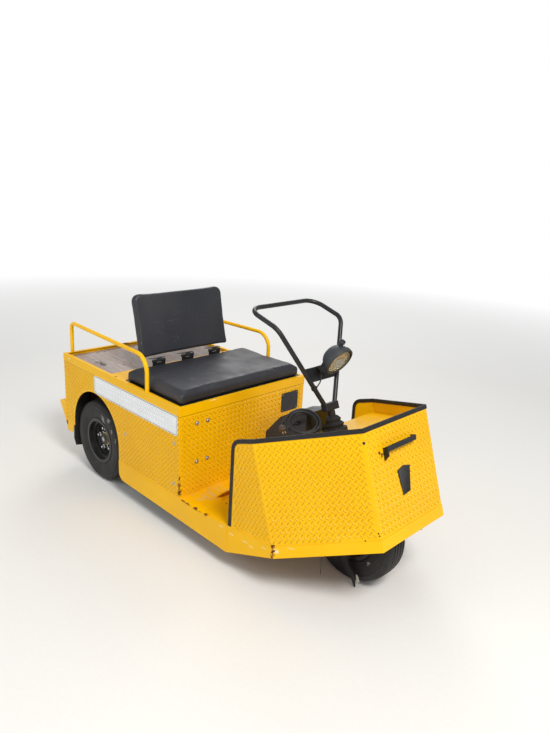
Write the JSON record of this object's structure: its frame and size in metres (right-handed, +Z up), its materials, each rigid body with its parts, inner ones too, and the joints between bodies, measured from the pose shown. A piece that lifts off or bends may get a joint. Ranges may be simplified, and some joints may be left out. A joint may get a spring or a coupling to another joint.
{
  "type": "electric utility tricycle",
  "caption": "Electric burden carrier tricycle with a raked loop handlebar, folded sheet nose, bench seat with folding backrest and a flat wooden load deck.",
  "frame": {"origin": "on the floor, under the middle of the vehicle's length and width", "axes": "+X points forward, +Y to the driver's left, +Z up"},
  "size_m": [2.0094, 0.764, 1.0455],
  "materials": {
    "yellow_paint": "gloss",
    "diamond_plate": "gloss over raised diamond tread",
    "black_paint": "satin",
    "black_rubber": "matt",
    "black_plastic": "satin",
    "deck_wood": "worn grey stain",
    "axle_iron": "black, dusty",
    "motor_paint": "satin",
    "battery_case": "matt",
    "seat_vinyl": "satin grained vinyl",
    "bare_steel": "zinc plated",
    "lead_rubber": "satin",
    "plug_plastic": "matt",
    "lamp_rubber": "matt",
    "lamp_glass": "fluted",
    "tyre_rubber": "matt",
    "rim_paint": "gloss black, worn"
  },
  "bodies": {
    "root": {"floor_pan": "yellow_paint", "skirts": "yellow_paint", "front_lip": "yellow_paint", "side_panel_right": "diamond_plate", "side_panel_left": "diamond_plate", "box_front_panel": "diamond_plate", "rear_panel": "diamond_plate", "rear_bumper": "yellow_paint", "deck_rim": "yellow_paint", "deck_bearers": "yellow_paint", "deck_boards": "deck_wood", "deck_cross_plate": "yellow_paint", "seat_plate": "yellow_paint", "side_rail_right": "yellow_paint", "side_rail_left": "yellow_paint", "cowl_shell": "diamond_plate", "cowl_trim": "black_rubber", "cowl_tray": "yellow_paint", "nose_handle": "black_plastic", "console_housing": "black_paint", "column_boot": "black_rubber", "chassis_frame": "black_paint", "rear_axle": "axle_iron", "drive_motor": "motor_paint", "leaf_springs": "axle_iron", "battery_block": "battery_case", "pedals": "yellow_paint", "seat_cushion": "seat_vinyl", "backrest_brackets": "bare_steel", "charger_coil": "lead_rubber", "charger_lead": "lead_rubber", "charger_plug": "plug_plastic"},
    "backrest": {"backrest_pad": "seat_vinyl", "backrest_leaves": "bare_steel"},
    "steering": {"steering_fork": "black_paint", "handlebar": "black_paint", "lamp_bracket": "black_paint", "headlamp_shell": "lamp_rubber", "headlamp_lens": "lamp_glass", "lamp_lead": "lead_rubber"},
    "front_wheel": {"front_tyre": "tyre_rubber", "front_rim": "rim_paint"},
    "rear_wheel_right": {"rear_right_tyre": "tyre_rubber", "rear_right_rim": "rim_paint"},
    "rear_wheel_left": {"rear_left_tyre": "tyre_rubber", "rear_left_rim": "rim_paint"}
  },
  "joints": [
    {"name": "front_steer", "type": "hinge", "parent": "root", "child": "steering", "pos_m": [0.74028, 0, 0.2075], "axis": [-0.3704, 0, 0.9289], "range_deg": [-45, 45]},
    {"name": "front_wheel_spin", "type": "hinge", "parent": "steering", "child": "front_wheel", "pos_m": [0.74028, 0, 0.2075], "axis": [0, 1, 0], "continuous": true},
    {"name": "rear_right_wheel_spin", "type": "hinge", "parent": "root", "child": "rear_wheel_right", "pos_m": [-0.63172, -0.3175, 0.2075], "axis": [0, 1, 0], "continuous": true},
    {"name": "rear_left_wheel_spin", "type": "hinge", "parent": "root", "child": "rear_wheel_left", "pos_m": [-0.63172, 0.3175, 0.2075], "axis": [0, 1, 0], "continuous": true},
    {"name": "backrest_fold", "type": "hinge", "parent": "root", "child": "backrest", "pos_m": [-0.38172, 0, 0.663], "axis": [0, 1, 0], "range_deg": [0, 97]}
  ]
}
